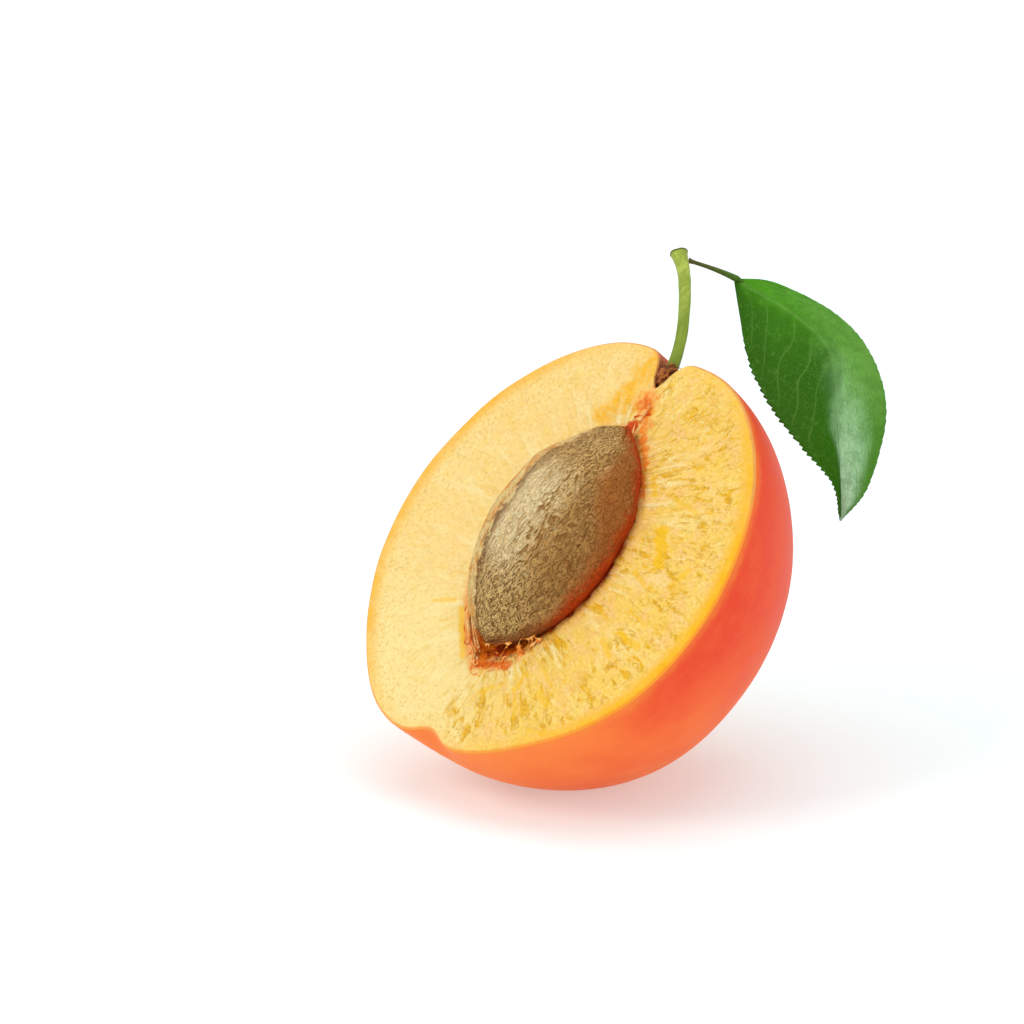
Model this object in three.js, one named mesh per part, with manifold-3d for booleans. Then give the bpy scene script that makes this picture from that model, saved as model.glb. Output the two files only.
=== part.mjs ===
// Half an apricot with its stone, its stem and one leaf. Millimetres, +Z up.
// The half stands on a small flat spot of its skin, and the origin is at that spot's centre.

import * as THREE from "three";
import { mergeVertices } from "three/addons/utils/BufferGeometryUtils.js";
import Module from "manifold-3d";

const wasm = await Module();
wasm.setup();

// The fruit and the stone are shaped in the fruit's own frame: +Z towards the stem end, the cut
// face in the plane Y = 0 with the flesh behind it at Y > 0, and the centre of the face at 0.

const fruit = {
  halfWidth: 23.7,
  stemEnd: 26.2, // from the centre of the face to the shoulders round the stem
  tipEnd: 25.6,
  depth: 27.4, // from the cut face to the back of the skin
  tipFullness: 0.5, // how much squarer than an ellipse the section through the tip is
  segments: 72, // round the face
  skinRings: 13,
  crowding: 0.5, // how much closer the segments stand at the stem and at the tip
};

// Hollows and swellings of the skin: where they lie round the rim, measured in degrees from the
// stem end, how far they spread along it, how high they stand and how far they reach behind the face
const reliefs = [
  { at: -3, spread: 4.2, height: -4.8, reach: 5 }, // throat of the stem cavity
  { at: -1, spread: 14, height: -1.4, reach: 8 }, // mouth of the stem cavity
  { at: 183, spread: 6, height: -1.7, reach: 4 }, // notch at the tip
  { at: 203, spread: 15, height: 0.8, reach: 14 }, // full side of the tip
  { at: 150, spread: 22, height: -1.1, reach: 14 }, // lean side of the tip
];

const hollow = { halfWidth: 9.2, halfLength: 16.4, depth: 5.4, offset: -0.3, rings: 6 };

const stone = {
  halfWidth: 7.9,
  halfLength: 14,
  lowerBluntness: 0.45, // 0 for a pointed end, 1 for the round end of an ellipse
  upperBluntness: 0.2,
  front: 6.9, // from its middle plane to the side that stands out of the hollow
  back: 5, // from its middle plane to the side in the hollow
  centre: [-0.2, -1.2, 1.1],
  keel: 0.5, // how far the two edges stand out as ridges
  keelSpread: 12, // degrees
  segments: 36,
  rings: 18,
};

const stem = {
  // From the root in the stem cavity to the cut end
  route: [
    [-1.1, 1.2, 22.4],
    [-2.66, 1.1, 26.87],
    [-5.08, 0.8, 30.98],
    [-7.26, 0.4, 33.83],
    [-9.2, 0, 35.6],
  ],
  rootRadius: 0.75,
  rootSwell: 0.12, // share of the length over which the root narrows
  radius: 0.62,
  taper: 0.12, // how much thicker the stem is below its head than above its root
  endRadius: 1.02,
  endFlare: 0.06, // share of the length over which the head widens
  rings: 14,
  segments: 12,
};

// Turns and place that bring the fruit's frame into its resting pose
const pose = {
  turn: -44.4, // about the vertical
  lean: -41.6, // of the cut face, upwards
  roll: 6.6, // of the stem end, within the face
  faceCentre: [-0.9, -2.25, 26.6],
};

// The leaf hangs beside the fruit, so its curves are given in the resting pose
const leaf = {
  base: [18.5, 18.6, 50.7],
  tip: [29.7, -1.4, 29.5],
  midrib: [[24.9, 13.1, 48.4], [28.7, 8, 45.6], [29.2, 2.9, 40.5], [29.6, -0.2, 34.9]],
  leftEdge: [[19.8, 10.9, 44.7], [22.1, 5.4, 40.8], [25.6, 0.6, 37.3], [28.9, -1.1, 33.6]],
  rightEdge: [[26.6, 16.6, 49.2], [32.3, 11.3, 45.8], [34.6, 3.8, 40.7], [32.7, -1.1, 33.6]],
  thickness: 0.45,
  stalk: [[13.6, 18.85, 52.8], [15.8, 18.9, 51.9], [19, 18.3, 50.5]],
  stalkRadius: 0.3,
  rows: 20,
  columns: 8,
};

const surfaceBlock = [80, 80, 20]; // stands for the surface below the fruit, and trims the skin flat

const { cos, sin, sqrt, hypot, exp, abs, PI } = Math;
const rad = THREE.MathUtils.degToRad;
const colours = { flesh: 0xf8d27c, stone: 0xa9824e, stem: 0x8fa63c, leaf: 0x3f7f24 };

function material(color, roughness) {
  return new THREE.MeshStandardMaterial({ color, roughness, metalness: 0 });
}

function toVectors(points) {
  return points.map((point) => new THREE.Vector3(...point));
}

// Moves every vertex of a geometry to where place(vertex, index) puts it
function moveVertices(geometry, place) {
  const positions = geometry.attributes.position;
  const vertex = new THREE.Vector3();
  for (let i = 0; i < positions.count; i++) {
    vertex.fromBufferAttribute(positions, i);
    place(vertex, i);
    positions.setXYZ(i, vertex.x, vertex.y, vertex.z);
  }
  return geometry;
}

function toSolid(geometry) {
  const bare = geometry.clone();
  bare.deleteAttribute("normal");
  bare.deleteAttribute("uv");
  const merged = mergeVertices(bare, 1e-4);
  const vertProperties = new Float32Array(merged.attributes.position.array);
  const triVerts = new Uint32Array(merged.index.array);
  return new wasm.Manifold(new wasm.Mesh({ numProp: 3, vertProperties, triVerts }));
}

function toGeometry(solid) {
  const mesh = solid.getMesh();
  const geometry = new THREE.BufferGeometry();
  geometry.setAttribute("position", new THREE.BufferAttribute(mesh.vertProperties, 3));
  geometry.setIndex(new THREE.BufferAttribute(mesh.triVerts, 1));
  geometry.computeVertexNormals();
  return geometry;
}

function makeMesh(name, geometry, finish) {
  const mesh = new THREE.Mesh(geometry, finish);
  mesh.name = name;
  return mesh;
}

// Radius, at an angle from +Z towards +X, of a lens: two equal arcs that meet in points on Z
function lensRadius(angle, halfWidth, halfLength) {
  const arcRadius = (halfLength ** 2 + halfWidth ** 2) / (2 * halfWidth);
  const inset = (arcRadius - halfWidth) * abs(sin(angle));
  return sqrt(inset ** 2 + halfLength ** 2) - inset;
}

// Radius of the skin round the face's centre line, where share is what is left of it at that depth
function skinRadius(angle, share, depth) {
  const end = cos(angle) > 0 ? fruit.stemEnd : fruit.tipEnd;
  let radius = share / hypot(sin(angle) / fruit.halfWidth, cos(angle) / end);
  for (const relief of reliefs) {
    const fromRelief = THREE.MathUtils.radToDeg(angle) - relief.at;
    const turn = THREE.MathUtils.euclideanModulo(fromRelief + 180, 360) - 180;
    radius += relief.height * exp(-((turn / relief.spread) ** 2) - (depth / relief.reach) ** 2);
  }
  return radius;
}

// The half turned on the face's centre line: bottom of the hollow, its wall, the face, the skin.
// A station's turn is 0 at the bottom of the hollow or at the rim, and a quarter at its other end.
function fruitGeometry() {
  const stations = [];
  for (let i = 0; i <= hollow.rings; i++) {
    stations.push({ zone: "hollow", turn: (i / hollow.rings) * (PI / 2) });
  }
  stations.push({ zone: "face" });
  for (let i = 0; i <= fruit.skinRings; i++) {
    stations.push({ zone: "skin", turn: (i / fruit.skinRings) * (PI / 2) });
  }
  const last = stations.length - 1;
  // The lathe gives the rings and their faces, and the real places follow from the stations
  const profile = stations.map((station, i) => new THREE.Vector2(i % last ? 1 : 0, i));
  const geometry = new THREE.LatheGeometry(profile, fruit.segments);

  return moveVertices(geometry, (vertex, i) => {
    const { zone, turn } = stations[i % stations.length];
    const step = Math.floor(i / stations.length) / fruit.segments;
    const angle = 2 * PI * step - (fruit.crowding / 2) * sin(4 * PI * step);
    const hollowEdge = lensRadius(angle, hollow.halfWidth, hollow.halfLength);
    if (zone === "hollow") {
      const radius = hollowEdge * sin(turn);
      vertex.set(radius * sin(angle) + hollow.offset, hollow.depth * cos(turn), radius * cos(angle));
    } else if (zone === "face") {
      const radius = (hollowEdge + skinRadius(angle, 1, 0)) / 2;
      vertex.set(radius * sin(angle) + hollow.offset / 2, 0, radius * cos(angle));
    } else {
      const squareness = 2 / (2 + fruit.tipFullness * Math.max(0, -cos(angle)) ** 2);
      const depth = fruit.depth * sin(turn) ** squareness;
      const share = i % stations.length === last ? 0 : cos(turn) ** squareness;
      const radius = share && skinRadius(angle, share, depth);
      vertex.set(radius * sin(angle), depth, radius * cos(angle));
    }
  });
}

// The skin is cut off flat where the half rests on the surface
function fruitHalf(restingPose) {
  const posed = fruitGeometry().applyMatrix4(restingPose);
  const below = new THREE.BoxGeometry(...surfaceBlock).translate(0, 0, -surfaceBlock[2] / 2);
  const cut = toSolid(posed).subtract(toSolid(below));
  return makeMesh("fruit_half", toGeometry(cut), material(colours.flesh, 0.45));
}

// Radius of the stone seen from the front: a lens with its ends blunted towards an ellipse
function stoneRadius(angle) {
  const lens = lensRadius(angle, stone.halfWidth, stone.halfLength);
  const ellipse = 1 / hypot(sin(angle) / stone.halfWidth, cos(angle) / stone.halfLength);
  const bluntness = cos(angle) > 0 ? stone.upperBluntness : stone.lowerBluntness;
  return lens + (ellipse - lens) * bluntness;
}

// A flattened almond: its outline turned on its length, thinned, with a ridge down each edge
function stoneMesh() {
  const profile = [];
  for (let i = 0; i <= stone.rings; i++) {
    const angle = PI * (1 - i / stone.rings);
    const radius = stoneRadius(angle);
    const ends = i % stone.rings === 0;
    profile.push(new THREE.Vector2(ends ? 0 : radius * sin(angle), radius * cos(angle)));
  }
  const geometry = new THREE.LatheGeometry(profile, stone.segments, PI / 2).rotateX(PI / 2);
  moveVertices(geometry, (vertex) => {
    const radius = hypot(vertex.x, vertex.y);
    const offEdge = THREE.MathUtils.radToDeg(Math.asin(radius > 0 ? abs(vertex.y) / radius : 0));
    const keel = stone.keel * exp(-((offEdge / stone.keelSpread) ** 2)) * (radius / stone.halfWidth);
    vertex.x += Math.sign(vertex.x) * keel;
    vertex.y *= (vertex.y < 0 ? stone.front : stone.back) / stone.halfWidth;
  });
  geometry.translate(...stone.centre);
  return makeMesh("stone", toGeometry(toSolid(geometry)), material(colours.stone, 0.85));
}

// Bends a solid that stands along +Y, over a height of 1, to run along a curve instead
function bendAlong(geometry, curve, side) {
  const across = new THREE.Vector3();
  const out = new THREE.Vector3();
  return moveVertices(geometry, (vertex) => {
    const along = THREE.MathUtils.clamp(vertex.y, 0, 1);
    const point = curve.getPointAt(along);
    const tangent = curve.getTangentAt(along);
    across.crossVectors(side, tangent).normalize();
    out.crossVectors(across, tangent);
    vertex.copy(point.addScaledVector(across, vertex.x).addScaledVector(out, vertex.z));
  });
}

// A round stalk whose radius at a share of its length is radiusAt(share)
function stalkGeometry(route, radiusAt, rings, segments) {
  const profile = [new THREE.Vector2(0, 0)];
  for (let i = 0; i <= rings; i++) {
    profile.push(new THREE.Vector2(radiusAt(i / rings), i / rings));
  }
  profile.push(new THREE.Vector2(0, 1));
  const curve = new THREE.CatmullRomCurve3(toVectors(route));
  return bendAlong(new THREE.LatheGeometry(profile, segments), curve, new THREE.Vector3(0, 1, 0));
}

function stemMesh() {
  const swell = stem.rootRadius - stem.radius;
  const flare = stem.endRadius - stem.radius - stem.taper;
  const radiusAt = (share) => {
    const ends = swell * exp(-share / stem.rootSwell) + flare * exp((share - 1) / stem.endFlare);
    return stem.radius + stem.taper * share ** 2 + ends;
  };
  const geometry = stalkGeometry(stem.route, radiusAt, stem.rings, stem.segments);
  return makeMesh("stem", toGeometry(toSolid(geometry)), material(colours.stem, 0.6));
}

// The blade is stretched between its midrib and its two edges, and joined to its stalk
function leafMesh() {
  const [left, middle, right] = [leaf.leftEdge, leaf.midrib, leaf.rightEdge].map(
    (inner) => new THREE.CatmullRomCurve3(toVectors([leaf.base, ...inner, leaf.tip])),
  );
  const onBlade = (across, along) => {
    const edge = (across < 0 ? left : right).getPoint(along);
    return middle.getPoint(along).lerp(edge, abs(across));
  };
  const step = 0.01;
  const normalAt = (across, along) => {
    const clampedAlong = THREE.MathUtils.clamp(along, step, 1 - step);
    const sideways = right.getPoint(clampedAlong).sub(left.getPoint(clampedAlong));
    const lengthways = middle.getPoint(clampedAlong + step).sub(middle.getPoint(clampedAlong - step));
    return lengthways.cross(sideways).normalize();
  };
  const geometry = new THREE.BoxGeometry(2, 1, 1, leaf.columns, leaf.rows, 1);
  moveVertices(geometry, (vertex) => {
    const along = 0.5 - vertex.y;
    const half = vertex.z * leaf.thickness;
    vertex.copy(onBlade(vertex.x, along)).addScaledVector(normalAt(vertex.x, along), half);
  });
  const stalk = stalkGeometry(leaf.stalk, () => leaf.stalkRadius, 6, 8);
  const joined = toSolid(geometry).add(toSolid(stalk));
  return makeMesh("leaf", toGeometry(joined), material(colours.leaf, 0.5));
}

function apricot() {
  const posed = new THREE.Group(); // the pieces kept in the fruit's own frame
  posed.rotation.set(rad(pose.lean), rad(pose.roll), rad(pose.turn), "ZXY");
  posed.position.set(...pose.faceCentre);
  posed.updateMatrix();
  posed.add(stoneMesh(), stemMesh());

  const group = new THREE.Group();
  group.add(fruitHalf(posed.matrix), posed, leafMesh());
  return group;
}

export default apricot();
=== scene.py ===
# Half an apricot with its stone, stem and leaf: the looks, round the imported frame.
# Sizes in the dictionaries are millimetres and degrees, and meshes end in metres.

from math import (
    acos, asin, atan2, copysign, cos, degrees, exp, floor, hypot, pi, radians, sin, sqrt,
)
import random

import bmesh
import bpy
from mathutils import Matrix, Vector, noise


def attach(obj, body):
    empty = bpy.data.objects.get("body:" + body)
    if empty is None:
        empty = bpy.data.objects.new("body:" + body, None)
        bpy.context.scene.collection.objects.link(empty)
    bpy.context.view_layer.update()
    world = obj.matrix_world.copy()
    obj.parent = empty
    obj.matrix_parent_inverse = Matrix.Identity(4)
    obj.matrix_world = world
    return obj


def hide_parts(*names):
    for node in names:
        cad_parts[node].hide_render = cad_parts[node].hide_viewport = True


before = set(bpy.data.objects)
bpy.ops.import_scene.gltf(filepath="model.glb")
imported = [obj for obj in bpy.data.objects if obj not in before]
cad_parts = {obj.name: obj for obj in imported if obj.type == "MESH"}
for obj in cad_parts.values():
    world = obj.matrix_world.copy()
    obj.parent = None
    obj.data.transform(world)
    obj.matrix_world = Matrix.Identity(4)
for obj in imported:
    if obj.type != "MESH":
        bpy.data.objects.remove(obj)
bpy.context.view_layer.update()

mm = 0.001
scene = bpy.context.scene
noise.seed_set(11)  # unseeded, noise_vector differs from run to run

# Where the fruit's own frame stands: +Z to the stem end, the cut face at Y = 0, flesh at Y > 0
pose = {"turn": -44.4, "lean": -41.6, "roll": 6.6, "faceCentre": (-0.9, -2.25, 26.6)}
poseTurn = (
    Matrix.Rotation(radians(pose["turn"]), 4, "Z")
    @ Matrix.Rotation(radians(pose["lean"]), 4, "X")
    @ Matrix.Rotation(radians(pose["roll"]), 4, "Y")
)
poseMatrix = Matrix.Translation(Vector(pose["faceCentre"])) @ poseTurn


# Camera and light
view = {
    "aim": (-5.8, -1, 30.4),
    "distance": 1000,
    "elevation": 18,
    "frameWidth": 110.6,  # what the picture takes in, at the aim
    "lampAim": (0, 0, 25),
}
lamps = [
    {"name": "topLamp", "at": (60, 150, 1300), "size": 1300, "watts": 7, "tint": (1, 1, 1)},
    {"name": "keyLamp", "at": (-760, -420, 760), "size": 420, "watts": 3.2, "tint": (1, 0.98, 0.95)},
    {"name": "fillLamp", "at": (900, -500, 260), "size": 700, "watts": 1.75, "tint": (1, 1, 1)},
]
surroundings = {"tint": (1, 1, 1), "strength": 0.6}


def toLinear(red, green, blue):  # 0 to 255, as a colour picker gives them
    shares = [channel / 255 for channel in (red, green, blue)]
    return tuple(s / 12.92 if s < 0.04045 else ((s + 0.055) / 1.055) ** 2.4 for s in shares) + (1,)


def addCamera():
    data = bpy.data.cameras.new("viewCamera")
    data.lens = data.sensor_width * view["distance"] / view["frameWidth"]
    data.clip_end = 20
    camera = bpy.data.objects.new("viewCamera", data)
    scene.collection.objects.link(camera)
    tilt = radians(view["elevation"])
    back = Vector((0, -cos(tilt), sin(tilt))) * view["distance"]
    camera.location = (Vector(view["aim"]) + back) * mm
    camera.rotation_euler = (pi / 2 - tilt, 0, 0)
    scene.camera = camera


def addLamps():
    for lamp in lamps:
        data = bpy.data.lights.new(lamp["name"], "AREA")
        data.size = lamp["size"] * mm
        data.energy = lamp["watts"]
        data.color = lamp["tint"]
        light = bpy.data.objects.new(lamp["name"], data)
        light.location = Vector(lamp["at"]) * mm
        towards = Vector(view["lampAim"]) - Vector(lamp["at"])
        light.rotation_euler = towards.to_track_quat("-Z", "Y").to_euler()
        scene.collection.objects.link(light)
    world = bpy.data.worlds.new("surroundings")
    world.use_nodes = True
    sky = world.node_tree.nodes["Background"]
    sky.inputs["Color"].default_value = (*surroundings["tint"], 1)
    sky.inputs["Strength"].default_value = surroundings["strength"]
    scene.world = world
    scene.view_settings.view_transform = "Standard"


addCamera()
addLamps()
print("camera and lamps are up")


class Nodes:  # puts nodes into one tree
    def __init__(self, tree, tones=None):
        self.tree = tree
        self.tones = tones or {}

    def node(self, kind, sockets=None, **settings):
        made = self.tree.nodes.new("ShaderNode" + kind)
        for name, value in settings.items():
            setattr(made, name, value)
        for name, value in (sockets or {}).items():
            self.plug(value, made.inputs[name])
        return made

    def plug(self, value, socket):  # a link, or a plain value
        if isinstance(value, bpy.types.NodeSocket):
            self.tree.links.new(value, socket)
        else:
            socket.default_value = value

    def calc(self, operation, first, second=0):
        return self.node("Math", {0: first, 1: second}, operation=operation).outputs[0]

    def add(self, first, second):
        return self.calc("ADD", first, second)

    def less(self, first, second):
        return self.calc("SUBTRACT", first, second)

    def both(self, first, *others):  # a product: masks that hold together
        for other in others:
            first = self.calc("MULTIPLY", first, other)
        return first

    def vector(self, operation, first, second):
        made = self.node("VectorMath", {0: first, 1: second}, operation=operation)
        return made.outputs["Value" if operation in ("DISTANCE", "DOT_PRODUCT") else "Vector"]

    def stretch(self, place, factors):
        return self.vector("MULTIPLY", place, factors)

    def axes(self, place):
        return self.node("SeparateXYZ", {0: place}).outputs

    def join(self, x, y, z=0):
        return self.node("CombineXYZ", {"X": x, "Y": y, "Z": z}).outputs[0]

    def remap(self, value, low, high, toLow=0, toHigh=1):
        sockets = {"Value": value, "From Min": low, "From Max": high, "To Min": toLow, "To Max": toHigh}
        return self.node("MapRange", sockets, interpolation_type="SMOOTHSTEP").outputs["Result"]

    def spread(self, value, toLow, toHigh):  # from the range that most of a noise keeps to
        return self.remap(value, 0.3, 0.7, toLow, toHigh)

    def line(self, value, reach):  # 1 where a noise crosses its middle, 0 beyond the reach
        return self.remap(self.calc("ABSOLUTE", self.less(value, 0.5)), reach, 0)

    def speckle(self, place, scale, detail=2, roughness=0.5, distortion=0):
        sockets = {"Vector": place, "Scale": scale, "Detail": detail, "Roughness": roughness}
        return self.node("TexNoise", {**sockets, "Distortion": distortion}).outputs["Fac"]

    def tone(self, tone):  # a named tone, a colour of 0 to 255, or a socket
        if isinstance(tone, str):
            tone = self.tones[tone]
        return toLinear(*tone) if isinstance(tone, tuple) else tone

    def mix(self, share, first, second):
        sockets = {0: share, 6: self.tone(first), 7: self.tone(second)}
        return self.node("Mix", sockets, data_type="RGBA").outputs[2]

    def bump(self, height, depth, under=None):  # depth in millimetres
        sockets = {"Height": height, "Distance": depth * mm}
        if under is not None:
            sockets["Normal"] = under
        return self.node("Bump", sockets).outputs["Normal"]

    def attribute(self, name):
        return self.node("Attribute", attribute_name=name).outputs["Fac"]

    def fruitPlace(self):  # millimetres in the fruit's own frame
        sockets = {
            "Vector": self.node("TexCoord").outputs["Object"],
            "Location": Vector(pose["faceCentre"]) * mm,
            "Rotation": poseTurn.to_euler("XYZ"),
            "Scale": (mm, mm, mm),
        }
        return self.node("Mapping", sockets, vector_type="TEXTURE").outputs["Vector"]

    def millimetres(self):  # millimetres in the row frame
        return self.stretch(self.node("TexCoord").outputs["Object"], (1 / mm,) * 3)

    def grain(self, place, scale, mottle=1):
        sockets = {"Vector": place, "Scale": scale, "Mottle": mottle}
        made = self.node("Group", sockets, node_tree=grainGroup)
        return made.outputs["Height"], made.outputs["Tint"]

    def nearPoint(self, place, point, inner, outer, jitter):
        return self.remap(self.add(self.vector("DISTANCE", place, point), jitter), outer, inner)

    def stroke(self, place, route, jitter):
        x, z, endX, endZ, reach = route
        sockets = {"Vector": place, "Start": (x, 0, z), "Span": (endX - x, 0, endZ - z)}
        sockets.update(Reach=reach, Jitter=jitter)
        return self.node("Group", sockets, node_tree=strokeGroup).outputs["Mask"]


class Finish(Nodes):  # a material in the making, whose colour is laid on in coats
    def __init__(self, name, tones, constants):
        self.material = bpy.data.materials.new(name)
        self.material.use_nodes = True
        super().__init__(self.material.node_tree, tones)
        self.colour = None
        self.shader = self.tree.nodes["Principled BSDF"]
        for socket, value in constants.items():
            self.shader.inputs[socket].default_value = value

    def coat(self, tone, *masks):
        self.colour = self.mix(self.both(*masks), self.colour, tone)

    def done(self, roughness, normal):
        for socket, value in (("Base Color", self.colour), ("Roughness", roughness), ("Normal", normal)):
            self.plug(value, self.shader.inputs[socket])
        return self.material


def newGroup(name, inputs, outputs):
    group = bpy.data.node_groups.new(name, "ShaderNodeTree")
    for side, sockets in (("INPUT", inputs), ("OUTPUT", outputs)):
        for socket, kind in sockets.items():
            group.interface.new_socket(name=socket, in_out=side, socket_type="NodeSocket" + kind)
    source = group.nodes.new("NodeGroupInput").outputs
    sink = group.nodes.new("NodeGroupOutput").inputs
    return Nodes(group), source, sink


def buildGrain():
    # Fine grain shared by the finishes: a height for bump and a tint that follows it
    inputs = {"Vector": "Vector", "Scale": "Float", "Mottle": "Float"}
    n, source, sink = newGroup("fineGrain", inputs, {"Height": "Float", "Tint": "Float"})
    fine = n.speckle(source["Vector"], source["Scale"], 3, 0.6)
    broad = n.speckle(source["Vector"], n.both(source["Scale"], 0.22), 2)
    mottled = n.both(n.less(n.add(n.both(fine, 0.4), n.both(broad, 0.6)), 0.5), source["Mottle"])
    n.plug(fine, sink["Height"])
    n.plug(n.add(mottled, 0.5), sink["Tint"])
    return n.tree


def buildStroke():
    # 1 along a straight stroke on the face, 0 beyond its reach
    inputs = {name: "Vector" for name in ("Vector", "Start", "Span")}
    inputs.update(Reach="Float", Jitter="Float")
    n, source, sink = newGroup("stroke", inputs, {"Mask": "Float"})
    span, reach = source["Span"], source["Reach"]
    away = n.vector("SUBTRACT", source["Vector"], source["Start"])
    along = n.calc("DIVIDE", n.vector("DOT_PRODUCT", away, span), n.vector("DOT_PRODUCT", span, span))
    share = n.calc("MINIMUM", n.calc("MAXIMUM", along, 0), 1)
    foot = n.node("VectorMath", {0: span, "Scale": share}, operation="SCALE").outputs[0]
    off = n.add(n.vector("DISTANCE", away, foot), n.both(source["Jitter"], reach))
    n.plug(n.remap(off, reach, n.both(reach, 0.3)), sink["Mask"])
    return n.tree


grainGroup = buildGrain()
strokeGroup = buildStroke()


def lerp(low, high, share):
    return low + (high - low) * share


def ease(low, high, value):
    share = min(1, max(0, (value - low) / (high - low)))
    return share * share * (3 - 2 * share)


def rumple(x, y, z):
    return noise.noise(Vector((x, y, z)))


def hill(distance, width):
    return exp(-((distance / width) ** 2))


def lensRadius(angle, halfWidth, halfLength):  # two equal arcs that meet in points on Z
    arcRadius = (halfLength**2 + halfWidth**2) / (2 * halfWidth)
    inset = (arcRadius - halfWidth) * abs(sin(angle))
    return sqrt(inset**2 + halfLength**2) - inset


def turnChain(stations, segments, refine=4, start=0):
    # A chain from pole to pole, turned round Y: station i of the chain lies at Y = i
    bm = bmesh.new()
    last = stations - 1
    sideways = Vector((sin(start), 0, cos(start)))
    chain = [bm.verts.new(sideways * (0 < i < last) + Vector((0, i, 0))) for i in range(stations)]
    links = [bm.edges.new(pair) for pair in zip(chain, chain[1:])]
    bmesh.ops.spin(
        bm, geom=chain + links, cent=(0, 0, 0), axis=(0, 1, 0), dvec=(0, 0, 0),
        angle=2 * pi, space=Matrix.Identity(4), steps=segments // refine, use_merge=True,
        use_normal_flip=False, use_duplicate=False,
    )
    poles = [v for v in bm.verts if v.co.x**2 + v.co.z**2 < 0.25]
    bmesh.ops.remove_doubles(bm, verts=poles, dist=0.01)
    rings = [e for e in bm.edges if abs(e.verts[0].co.y - e.verts[1].co.y) < 0.5]
    bmesh.ops.subdivide_edges(bm, edges=rings, cuts=refine - 1)
    return bm


def toPiece(bm, name, finishes, node=None):
    bmesh.ops.recalc_face_normals(bm, faces=bm.faces)
    for face in bm.faces:
        face.smooth = True
    mesh = bpy.data.meshes.new(name)
    bm.to_mesh(mesh)
    bm.free()
    for finish in finishes:
        mesh.materials.append(finish)
    piece = bpy.data.objects.new(name, mesh)
    scene.collection.objects.link(piece)
    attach(piece, "root")
    if node:
        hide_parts(node)
    print(name, "has", sum(len(p.vertices) - 2 for p in mesh.polygons), "triangles")
    return piece


def addWall(piece, thickness):
    wall = piece.modifiers.new("thickness", "SOLIDIFY")
    wall.thickness = thickness * mm
    wall.offset = 0
    return wall


# The fruit half
fruit = {
    "halfWidth": 23.7,
    "stemEnd": 26.2,
    "tipEnd": 25.6,
    "depth": 27.4,
    "tipFullness": 0.5,
    "cavityAt": (-0.8, 1.4, 21.8),  # where the stem is rooted
    "rimRound": 0.5,  # radius of the edge between face and skin
    "restRoll": 0.25,  # how softly the skin rolls off into the flat resting spot
    "segments": 600,
    "crowding": 0.3,  # how much closer the segments stand at the stem end and the tip
    "hollowRings": 24,
    "faceRings": 98,
    "rimRings": 4,
    "skinRings": 36,
    "gouge": 0.1,  # depth of the broad strokes in the cut face
    "strand": 0.05,  # and of the thin ones
    "swell": 0.16,
    # Golden strokes in the flesh: from X, Z to X, Z on the face, half the width, strength
    "strokes": [
        (11.3, 6.8, 13.6, 3.4, 1.1, 1), (6.4, 11.4, 7.6, 10.2, 0.6, 0.85),
        (10.2, 10.6, 14.3, 10.1, 0.35, 0.6), (11.5, 1.4, 13.9, 0.4, 0.4, 0.75),
        (16.9, 1.4, 18, 4.2, 0.4, 0.7), (13.9, -2.6, 16.7, -3.4, 0.4, 0.8),
        (14.6, -5.3, 17.7, -5.8, 0.45, 0.8), (12.9, -7, 15.2, -8.3, 0.45, 0.75),
        (6.3, -13.8, 6.3, -15.9, 0.5, 0.9), (6.3, -15.9, 8.3, -18.7, 0.3, 0.8),
        (6.5, -11.7, 10.6, -13.9, 0.3, 0.6), (-11.2, -11, -8.7, -9.8, 0.4, 0.7),
        (1.8, -17.9, 4.4, -15.8, 0.4, 0.65), (11.1, -19.2, 14.8, -18.2, 0.4, 0.65),
        (9.6, -15.2, 10.8, -15.8, 0.8, 0.7),
    ],
    # In the same way: a stroke along the hollow's low left edge, one by the pocket above the stone, the
    # orange lens under the stone, gold beside the stem cavity and knobs on the hollow's sunny edge
    "edgeStroke": (-7.2, -10.5, -3.1, -15.1, 0.55),
    "pocketStroke": (-1.2, 16.9, 0.6, 17.8, 0.24),
    "lens": (-0.9, -15.3, 3.2, -13.9, 0.85),
    "goldBand": [(-5.2, 15.8, -3.9, 19, 2), (-3.7, 18.6, -2.9, 23.2, 2.5)],
    "sunnyEdge": [(0.1, 17.5, 1.9, 14.9, 0.95), (1.9, 14.9, 4, 12.4, 0.65), (4.6, 11.4, 6.2, 9.2, 0.45)],
}
hollow = {
    "halfWidth": 9.2,
    "halfLength": 16.4,
    "depth": 5.8,
    "slope": 4.2,  # above 1 the wall starts shallow behind the rim
    "offset": -0.3,
    "ragged": 0.25,  # how unevenly the edge runs
}
# Notches and swellings of the outline: the turn, its spread in degrees, height, reach into the depth
reliefs = [
    (-3, 3.5, -4, 5), (-1, 14, -1.4, 8), (183, 6, -1.7, 4), (203, 15, 0.8, 14), (150, 22, -1.1, 14),
]
fleshTones = {
    "cream": (251, 218, 142), "gold": (250, 207, 100), "yellow": (248, 206, 84),
    "peach": (251, 198, 124), "pale": (255, 236, 172), "lowPale": (254, 232, 160), "rim": (250, 186, 56),
    "sunnyRim": (252, 186, 16), "mark": (238, 178, 18), "thinMark": (208, 152, 30),
    "spot": (250, 194, 16), "deepGold": (250, 186, 44), "fleck": (222, 178, 84),
    "wallLeft": (238, 176, 104), "paintedSlitShade": (160, 96, 44), "wallRidge": (252, 146, 62),
    "wallPitAndShade": (184, 48, 8), "wallMiddle": (214, 66, 20), "wallTip": (254, 128, 8),
    "lens": (236, 102, 0), "pocket": (216, 76, 0), "bundle": (252, 134, 26), "tissue": (140, 76, 26),
    "hollowEdge": (249, 176, 84), "leftEdge": (242, 160, 78), "skinEdge": (230, 150, 84),
    "lowEdge": (255, 150, 48),
}
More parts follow.
